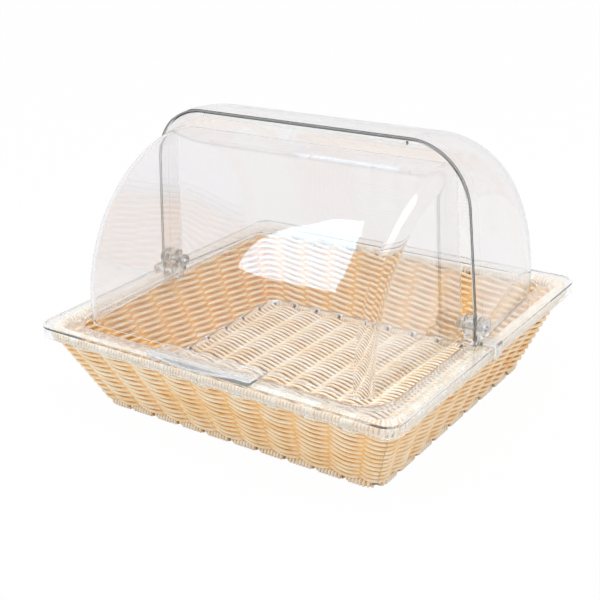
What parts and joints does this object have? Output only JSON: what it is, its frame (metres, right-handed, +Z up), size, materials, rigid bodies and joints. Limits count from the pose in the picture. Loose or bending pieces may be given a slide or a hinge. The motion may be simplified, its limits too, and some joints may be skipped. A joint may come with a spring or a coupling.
{
  "type": "countertop bread display bin",
  "caption": "Flared woven basket on a wire frame with a clear roll-top cover whose front part turns up and back inside the rear part.",
  "frame": {"origin": "on the counter, under the middle of the whole bin, grip included", "axes": "+Z up, +X to the right along the hinge line, -Y the front, where the lift grip is"},
  "size_m": [0.3592, 0.3364, 0.2426],
  "materials": {
    "clear_sheet": "clear moulded polycarbonate, glossy",
    "clear_fitting": "clear moulded polycarbonate, glossy, thick sections grey",
    "woven_wicker": "polypropylene strand, woven, satin",
    "bound_wicker": "polypropylene strand, wound, satin",
    "steel_wire": "zinc-plated steel wire"
  },
  "bodies": {
    "bin": {"base_frame": "clear_sheet", "rear_shell": "clear_sheet", "stop_strip": "clear_fitting", "hinge_bracket_left": "clear_fitting", "hinge_bracket_right": "clear_fitting", "hinge_pin_left": "clear_fitting", "hinge_pin_right": "clear_fitting", "pin_cap_left": "clear_fitting", "pin_cap_right": "clear_fitting", "rim_wire": "steel_wire", "rim_binding": "bound_wicker", "foot_wire": "steel_wire", "foot_binding": "bound_wicker", "corner_posts": "steel_wire", "wall_uprights": "steel_wire", "wall_weave_front": "woven_wicker", "wall_weave_back": "woven_wicker", "wall_weave_left": "woven_wicker", "wall_weave_right": "woven_wicker", "floor_ribs": "steel_wire", "floor_weave": "woven_wicker"},
    "front_cover": {"front_shell": "clear_sheet", "lift_grip": "clear_fitting", "pivot_washer_left": "clear_fitting", "pivot_washer_right": "clear_fitting"}
  },
  "joints": [
    {"name": "front_cover_turn", "type": "hinge", "parent": "bin", "child": "front_cover", "pos_m": [0, 0.00175, 0.094], "axis": [-1, 0, 0], "range_deg": [0, 85]}
  ]
}
